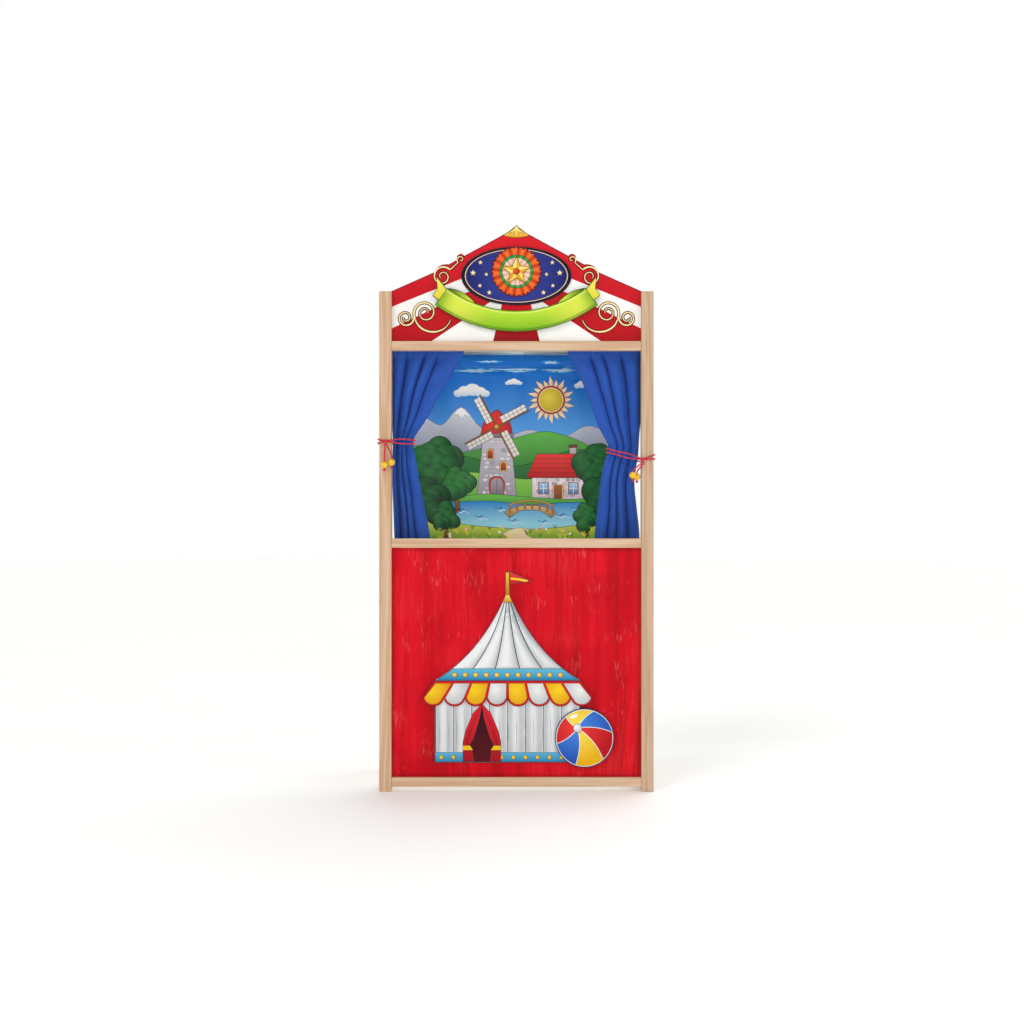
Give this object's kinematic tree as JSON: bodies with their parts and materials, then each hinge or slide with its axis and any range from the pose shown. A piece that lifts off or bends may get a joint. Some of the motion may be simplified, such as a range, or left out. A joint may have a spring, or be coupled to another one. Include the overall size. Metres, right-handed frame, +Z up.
{
  "type": "puppet theater stand",
  "caption": "Child's puppet theatre stand: a slim pine front frame with gable, red panel, tied-back curtains, lift-out backdrop and two fold-in side wings.",
  "frame": {"origin": "on the floor, at the middle of the box round the stand with its wings out", "axes": "+Z up, the stage faces -Y, +X to the right as seen from the front"},
  "size_m": [0.5629, 0.2888, 1.15],
  "materials": {
    "pine": "satin clear lacquer",
    "red_ply": "red stain, satin",
    "gable_print": "printed, semi-gloss",
    "medallion_blue": "printed, semi-gloss",
    "ribbon_green": "printed, semi-gloss",
    "rosette_red": "printed, semi-gloss",
    "gold": "printed, semi-gloss",
    "canvas_print": "printed, semi-gloss",
    "valance_yellow": "printed, semi-gloss",
    "ball_print": "printed, semi-gloss",
    "birch_ply": "sanded plywood",
    "beech": "turned dowel",
    "curtain_cloth": "soft woven cloth",
    "backdrop_satin": "printed satin",
    "zinc": "zinc plated",
    "cord": "braided cord",
    "bead": "gloss lacquer"
  },
  "bodies": {
    "front_frame": {"post_left": "pine", "post_right": "pine", "bottom_rail": "pine", "middle_rail": "pine", "top_rail": "pine", "frame_bolt_bottom_left": "zinc", "frame_bolt_bottom_right": "zinc", "frame_bolt_middle_left": "zinc", "frame_bolt_middle_right": "zinc", "frame_bolt_top_left": "zinc", "frame_bolt_top_right": "zinc", "front_panel": "red_ply", "header_board": "gable_print", "header_medallion": "medallion_blue", "header_ribbon": "ribbon_green", "header_rosette": "rosette_red", "header_star": "gold", "header_scroll_left": "gold", "header_curl_left": "gold", "header_scroll_right": "gold", "header_curl_right": "gold", "emblem_tent": "canvas_print", "emblem_valance": "valance_yellow", "emblem_ball": "ball_print", "bracket_left": "birch_ply", "bracket_screw_lower_left": "zinc", "bracket_screw_upper_left": "zinc", "bracket_right": "birch_ply", "bracket_screw_lower_right": "zinc", "bracket_screw_upper_right": "zinc", "curtain_rod": "beech", "curtain_left": "curtain_cloth", "curtain_right": "curtain_cloth", "tie_left": "cord", "tie_tail_left_1": "cord", "tie_bead_left_1": "bead", "tie_tail_left_2": "cord", "tie_bead_left_2": "bead", "tie_right": "cord", "tie_tail_right_1": "cord", "tie_bead_right_1": "bead", "tie_tail_right_2": "cord", "tie_bead_right_2": "bead", "left_hinge_post_leaf": "zinc", "left_hinge_pin": "zinc", "right_hinge_post_leaf": "zinc", "right_hinge_pin": "zinc"},
    "left_wing": {"left_wing_front_stile": "pine", "left_wing_rear_stile": "pine", "left_wing_bottom_rail": "pine", "left_wing_top_rail": "pine", "left_hinge_wing_leaf": "zinc"},
    "right_wing": {"right_wing_front_stile": "pine", "right_wing_rear_stile": "pine", "right_wing_bottom_rail": "pine", "right_wing_top_rail": "pine", "right_hinge_wing_leaf": "zinc"},
    "backdrop": {"backdrop_rod": "beech", "backdrop_cloth": "backdrop_satin"}
  },
  "joints": [
    {"name": "left_wing_fold", "type": "hinge", "parent": "front_frame", "child": "left_wing", "pos_m": [-0.2496, -0.11, 0.2375], "axis": [0, 0, -1], "range_deg": [0, 90]},
    {"name": "right_wing_fold", "type": "hinge", "parent": "front_frame", "child": "right_wing", "pos_m": [0.2496, -0.11, 0.2375], "axis": [0, 0, 1], "range_deg": [0, 90]},
    {"name": "backdrop_lift", "type": "slide", "parent": "front_frame", "child": "backdrop", "axis": [0, 0, 1], "range_m": [0, 0.03]}
  ]
}
